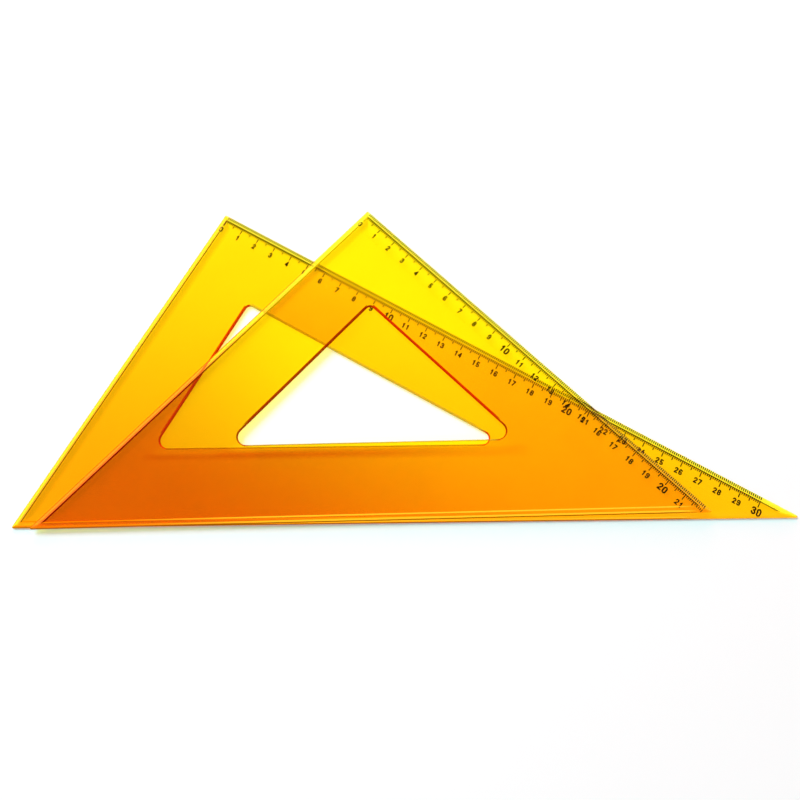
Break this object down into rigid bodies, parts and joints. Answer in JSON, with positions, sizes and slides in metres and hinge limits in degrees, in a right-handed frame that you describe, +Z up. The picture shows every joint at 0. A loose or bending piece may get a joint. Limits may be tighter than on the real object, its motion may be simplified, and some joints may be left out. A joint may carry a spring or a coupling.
{
  "type": "set square pair",
  "caption": "Transparent amber drafting set squares, 30/60 and 45 degrees, stacked, each with bevelled guide edges, a triangular window and a printed metric scale.",
  "frame": {"origin": "middle of the pair's bounding box, on the surface it lies on", "axes": "+X along the lower square's long edge, +Y towards its right angle, +Z up"},
  "size_m": [0.3698, 0.1618, 0.0041],
  "materials": {
    "lower_plastic": "polished transparent amber",
    "upper_plastic": "polished transparent yellow-amber",
    "ink": "matt printed ink"
  },
  "bodies": {
    "square_30_60": {"square_30_60_plate": "lower_plastic", "square_30_60_edge_marks": "ink", "square_30_60_millimetre_marks": "ink", "square_30_60_half_centimetre_marks": "ink", "square_30_60_centimetre_marks": "ink", "square_30_60_numerals": "ink"},
    "square_45": {"square_45_plate": "upper_plastic", "square_45_edge_marks": "ink", "square_45_millimetre_marks": "ink", "square_45_half_centimetre_marks": "ink", "square_45_centimetre_marks": "ink", "square_45_numerals": "ink"}
  },
  "joints": [
    {"name": "upper_square_slide", "type": "slide", "parent": "square_30_60", "child": "square_45", "axis": [1, 0, 0], "range_m": [-0.009, 0.042]}
  ]
}
